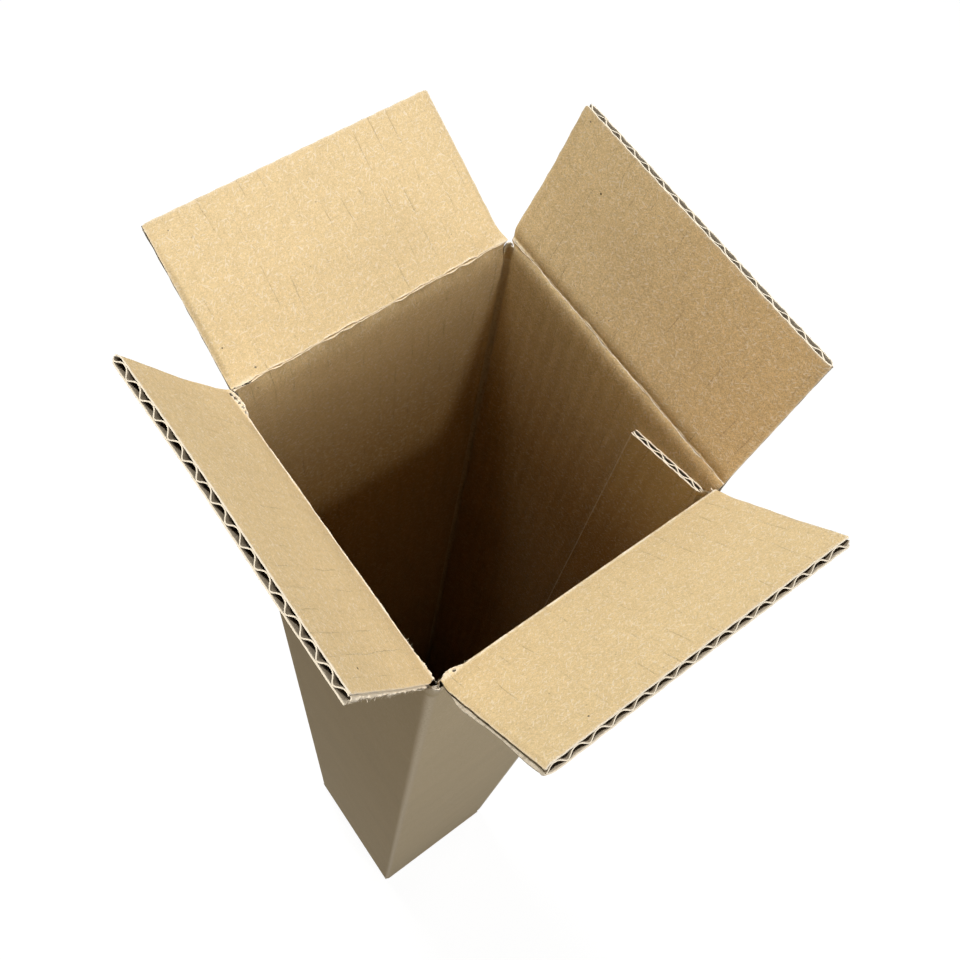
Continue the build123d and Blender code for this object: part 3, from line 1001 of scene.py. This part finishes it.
def build_floor(paper):
    """The four bottom flaps, folded in and glued, the front and rear pair on top of the other two."""
    board = sizes()
    turn = np.linspace(0, math.pi / 2, 7)
    spare = np.linspace(0, 0.05, len(turn)) * MM
    for wall in WALLS.values():
        level = 0.0 if abs(wall.outward[0]) > 0.5 else board.board
        bend_o = HALF - board.floor_radius + board.floor_radius * np.sin(turn)
        bend_z = level + board.floor_radius - board.floor_radius * np.cos(turn)
        outer = joined((board.floor_seam / 2, level), np.stack([bend_o, bend_z], -1), (HALF, board.foot))

        # The inner bend's points lie a little apart, so that no face shrinks to nothing
        face, top = HALF - board.board, level + board.board
        inner = joined((board.floor_seam / 2, top), np.stack([face - spare[::-1], top + spare], -1),
                       (face, board.foot))
        s = np.linspace(-wall.root_half, wall.root_half, 12)

        def points(path):
            return (path[:, None, :1] * wall.outward + path[:, None, 1:] * UP + s[None, :, None] * wall.along)

        run = np.concatenate([[0], np.cumsum(np.linalg.norm(np.diff(outer, axis=0), axis=1))])
        flat = np.stack(np.broadcast_arrays((wall.sheet_start + s)[None, :], run[:, None] - run[-1]), -1)
        paper.sheet(points(outer), points(inner), flat, (OUTSIDE, INSIDE, CUT))


def tab_place(s, down, n):
    """Points on the glue tab: s in from its fold, down from its slanted top, and n in from the right wall."""
    board = sizes()
    top = LOW_CREASE - board.tab_gap - board.tab_drop * s / board.tab_width
    return np.stack(np.broadcast_arrays(HALF - board.board - n, board.board - HALF + s, top - down), -1)


def tab_flat(s, down):
    """Place on the unfolded sheet of a point on the glue tab."""
    return np.stack(np.broadcast_arrays(-s, LOW_CREASE - down), -1)


def build_tab():
    """The glue tab inside the right wall: two liners down to the floor, and flutes open at its top."""
    board = sizes()
    bottom = 2 * board.board + TAB_FLOOR_GAP
    start = board.tab_board + TAB_ROOT
    s = np.concatenate([np.linspace(start, board.tab_width - 1 * MM, 40),
                        board.tab_width - np.array([0.6, 0.25, 0]) * MM])
    share = np.concatenate([[0, 0.0006, 0.0015, 0.004], np.linspace(0.01, 1, 24)])
    paper = Paper()
    for side, near, far in ((INSIDE, board.tab_board, board.tab_board - board.liner),
                            (OUTSIDE, GLUE_FILM, board.liner)):
        ragged = ripple(s, 91 + side, (2.3, 5, 1.2), (0.08, 0.12, 0.05)) * MM
        reach = LOW_CREASE - board.tab_gap - bottom - 2 * board.tab_drop * s / board.tab_width
        down = reach[:, None] * share[None, :] + ragged[:, None] * (1 - share[None, :])
        rough = ripple(down, 95 + side, (4, 9), (0.05, 0.07)) * (s[:, None] / s[-1]) ** 20 * MM
        across = s[:, None] + rough
        worn = np.maximum(clamp(1 - (s[-1] - s[:, None]) / (0.5 * MM)), 0.9 * clamp(1 - down / (0.5 * MM)))
        paper.sheet(tab_place(across, down, near + 0 * down), tab_place(across, down, far + 0 * down),
                    tab_flat(across, down), (side, FLUTE, CUT), worn)
    piece = paper.finish("glue_tab_liners")
    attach(piece, "carton")
    width = board.tab_width - start - 0.2 * MM

    def place(x, y, z):
        return tab_place(start + 0.1 * MM + x + width / 2, y, z)

    def flat(x, y):
        return tab_flat(start + x + width / 2, y)

    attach(fluted_piece("glue_tab_flutes", width, board.tab_flutes, board.tab_board, 2.2 * MM, place, flat),
            "carton")


def shown_apart(nodes, lighting, seen):
    """Give the camera and mirrors one thing to see, and let another light the box."""
    path = nodes.add("ShaderNodeLightPath").outputs
    direct = nodes.math("MAXIMUM", nodes.math("MAXIMUM", path["Is Camera Ray"], path["Is Glossy Ray"]),
                        path["Is Transmission Ray"])
    return nodes.out("ShaderNodeMixShader", {0: direct, 1: lighting, 2: seen})


def build_backdrop(scene):
    """A pale floor that keeps a soft shadow, and a white room round it that hardly lights the box."""
    half_size = 4.0
    corners = [(x * half_size, y * half_size, 0) for x, y in ((-1, -1), (1, -1), (1, 1), (-1, 1))]
    mesh = bpy.data.meshes.new("floor")
    mesh.from_pydata(corners, [], [(0, 1, 2, 3)])
    material = bpy.data.materials.new("pale_floor")
    material.use_nodes = True
    nodes = Nodes(material.node_tree)
    plain = nodes.out("ShaderNodeBsdfDiffuse", {"Color": (0.85, 0.85, 0.85, 1)})
    bright = nodes.out("ShaderNodeEmission", {"Color": (1, 1, 1, 1), "Strength": 1.15})
    dull = nodes.out("ShaderNodeBsdfDiffuse", {"Color": (0.45, 0.45, 0.46, 1)})
    pale = nodes.out("ShaderNodeMixShader", {0: 0.8, 1: plain, 2: bright})
    nodes.add("ShaderNodeOutputMaterial", {"Surface": shown_apart(nodes, dull, pale)})
    mesh.materials.append(material)
    floor = bpy.data.objects.new("floor", mesh)
    scene.collection.objects.link(floor)

    scene.world = bpy.data.worlds.new("room")
    scene.world.use_nodes = True
    nodes = Nodes(scene.world.node_tree)
    room = nodes.out("ShaderNodeBackground", {"Color": (0.93, 0.96, 1.0, 1), "Strength": 0.01})
    white = nodes.out("ShaderNodeBackground", {"Color": (1, 1, 1, 1), "Strength": 1.0})
    nodes.add("ShaderNodeOutputWorld", {"Surface": shown_apart(nodes, room, white)})


def build_lamps(scene):
    """Soft lamps round the opening: name, way to it, distance, width, power and tint of each."""
    opening = Vector((0, 0, JOIN_LEVEL))
    white, warm, cool = (1.0, 1.0, 1.0), (1.0, 0.85, 0.60), (0.90, 1.0, 0.88)
    for name, way, distance, width, power, tint in (
            ("lamp_overhead", (0.0, 0.24, 1.0), 1.5, 0.25, 23.5, white),
            ("lamp_key", (0.15, -0.68, 0.73), 1.5, 0.15, 4.3, white),
            ("lamp_right", (0.9, 0.25, 0.75), 1.5, 0.5, 2.9, white),
            ("lamp_low_right", (0.9, -0.3, 0.5), 1.5, 0.5, 3.3, white),
            ("lamp_low_left", (-0.9, 0.0, 0.25), 1.5, 0.8, 3.5, warm),
            ("lamp_low_front", (0.0, -0.9, 0.25), 1.5, 0.8, 6.2, white),
            ("lamp_rear", (0.0, 0.9, 0.5), 1.5, 0.8, 2.8, cool)):
        lamp = bpy.data.lights.new(name, "AREA")
        lamp.shape = "DISK"
        lamp.size = width
        lamp.energy = power
        lamp.color = tint
        holder = bpy.data.objects.new(name, lamp)
        direction = Vector(way).normalized()
        holder.location = opening + direction * distance
        holder.rotation_euler = direction.to_track_quat("Z", "Y").to_euler()
        scene.collection.objects.link(holder)


def build_camera(scene):
    """The camera at the photograph's place."""
    values = scene.stage_values
    azimuth, elevation, roll = values.azimuth, values.elevation, values.roll
    level = Vector((math.cos(azimuth), math.sin(azimuth), 0))
    back = Vector((math.sin(azimuth) * math.cos(elevation), -math.cos(azimuth) * math.cos(elevation),
                   math.sin(elevation)))
    right = level * math.cos(roll) + back.cross(level) * math.sin(roll)
    camera = bpy.data.cameras.new("camera")
    camera.sensor_width = 36.0
    camera.lens = camera.sensor_width * values.focal_share
    camera.clip_start, camera.clip_end = 0.01, 50.0
    viewer = bpy.data.objects.new("camera", camera)
    turned = Matrix((right, back.cross(right), back)).transposed().to_4x4()
    viewer.matrix_world = Matrix.Translation(values.camera_place) @ turned
    scene.collection.objects.link(viewer)
    scene.camera = viewer
    scene.view_settings.view_transform = "Standard"


class CARTON_OT_papers(bpy.types.Operator):
    """Make the paper materials and the node trees for flutes and fibres"""
    bl_idname = "carton.papers"
    bl_label = "Papers"

    def execute(self, context):
        colours = context.scene.paper_colours
        paper_material("kraft_inside", colours.inside, 0.63, 0.24, 0.0)
        paper_material("kraft_outside", colours.outside, 0.30, 0.0, 1.3)
        # The fluted paper's dark colour is partly painted shade of the cells inside the board
        paper_material("flute_paper", colours.flute, 0.35, 0.0, 2.6)
        paper_material("cut_paper", colours.cut, 0.35, 0.0, 3.9)
        flute_tree()
        fibre_tree()
        return {"FINISHED"}


class CARTON_OT_sleeve(bpy.types.Operator):
    """Build the walls, the corner posts and the bottom flaps"""
    bl_idname = "carton.sleeve"
    bl_label = "Sleeve"

    def execute(self, context):
        build_sleeve()
        return {"FINISHED"}


class CARTON_OT_tab(bpy.types.Operator):
    """Build the glue tab inside the right wall"""
    bl_idname = "carton.tab"
    bl_label = "Glue tab"

    def execute(self, context):
        build_tab()
        return {"FINISHED"}


class CARTON_OT_flaps(bpy.types.Operator):
    """Build the liners, flutes and loose fibres of the four top flaps"""
    bl_idname = "carton.flaps"
    bl_label = "Top flaps"

    def execute(self, context):
        for wall in WALLS.values():
            build_flap(wall)
            build_flutes(wall)
        build_fibres()
        return {"FINISHED"}


class CARTON_OT_creases(bpy.types.Operator):
    """Build the bent strips between the walls and the top flaps"""
    bl_idname = "carton.creases"
    bl_label = "Top creases"

    def execute(self, context):
        for wall in WALLS.values():
            build_crease(wall)
        return {"FINISHED"}


class CARTON_OT_stage(bpy.types.Operator):
    """Set up the floor, the lamps and the camera"""
    bl_idname = "carton.stage"
    bl_label = "Stage"

    def execute(self, context):
        build_backdrop(context.scene)
        build_lamps(context.scene)
        build_camera(context.scene)
        return {"FINISHED"}


OPERATORS = (CARTON_OT_papers, CARTON_OT_sleeve, CARTON_OT_tab, CARTON_OT_flaps, CARTON_OT_creases,
             CARTON_OT_stage)
GROUPS = {"board_sizes": BoardSizes, "paper_colours": PaperColours, "stage_values": StageValues}


class CARTON_PT_panel(bpy.types.Panel):
    """Sizes, colours and steps of the open carton"""
    bl_label = "Open Carton"
    bl_idname = "CARTON_PT_panel"
    bl_space_type = "VIEW_3D"
    bl_region_type = "UI"
    bl_category = "Carton"

    def draw(self, context):
        for name in GROUPS:
            group = getattr(context.scene, name)
            for key in group.__annotations__:
                self.layout.prop(group, key)
        for operator in OPERATORS:
            self.layout.operator(operator.bl_idname)


def register():
    for name, group in GROUPS.items():
        bpy.utils.register_class(group)
        setattr(bpy.types.Scene, name, PointerProperty(type=group))
    for item in OPERATORS + (CARTON_PT_panel,):
        bpy.utils.register_class(item)


def unregister():
    for item in reversed(OPERATORS + (CARTON_PT_panel,)):
        bpy.utils.unregister_class(item)
    for name, group in reversed(GROUPS.items()):
        delattr(bpy.types.Scene, name)
        bpy.utils.unregister_class(group)


def main():
    register()
    bpy.ops.carton.papers()
    bpy.ops.carton.sleeve()
    bpy.ops.carton.tab()
    bpy.ops.carton.flaps()
    bpy.ops.carton.creases()
    bpy.ops.carton.stage()


if __name__ == "__main__":
    main()
